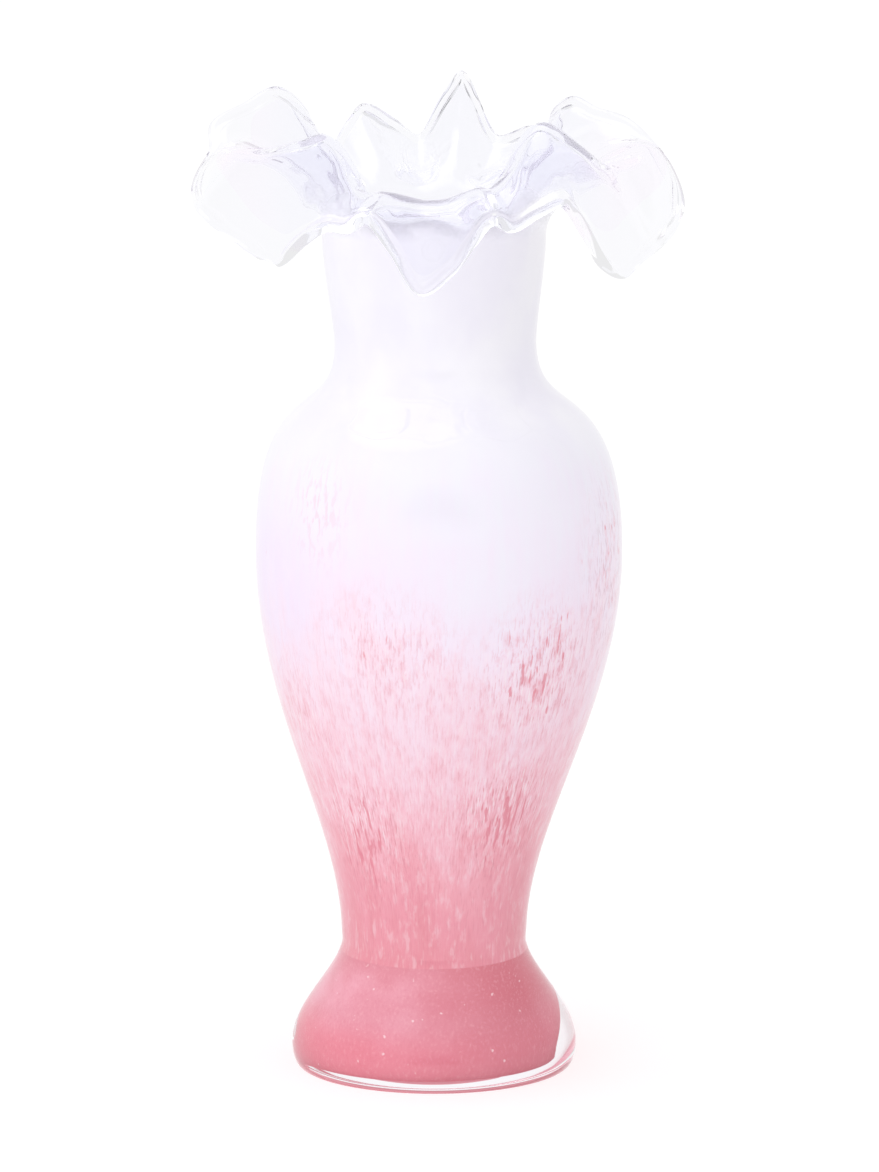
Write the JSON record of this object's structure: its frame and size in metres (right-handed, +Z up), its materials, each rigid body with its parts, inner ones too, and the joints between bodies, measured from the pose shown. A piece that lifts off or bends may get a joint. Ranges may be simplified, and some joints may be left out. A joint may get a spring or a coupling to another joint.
{
  "type": "ruffled vase",
  "caption": "Hand-blown cased glass vase: flared foot, tapering pink body, white shoulder and neck, and a clear crimped, ruffled rim.",
  "frame": {"origin": "centre of the flat face under the foot that the vase stands on", "axes": "+Z up along the vase, +X to the right and -Y to the front as the long hanging lobe of the rim faces the viewer"},
  "size_m": [0.1471, 0.1219, 0.2952],
  "materials": {
    "clear_glass": "fire-polished clear glass with a faint lavender cast",
    "opal_glass": "glossy opal white, slightly lavender",
    "pink_glass": "pink powder and chips in the glass, dense at the waist and fading to flecks at the shoulder",
    "deep_pink_glass": "solid dusty rose glass with a few fine bubbles"
  },
  "bodies": {
    "root": {"clear_foot": "clear_glass", "foot_core": "deep_pink_glass", "clear_casing": "clear_glass", "pink_colour_layer": "pink_glass", "opal_lining": "opal_glass", "opal_flare": "opal_glass", "ruffled_rim": "clear_glass"}
  },
  "joints": []
}
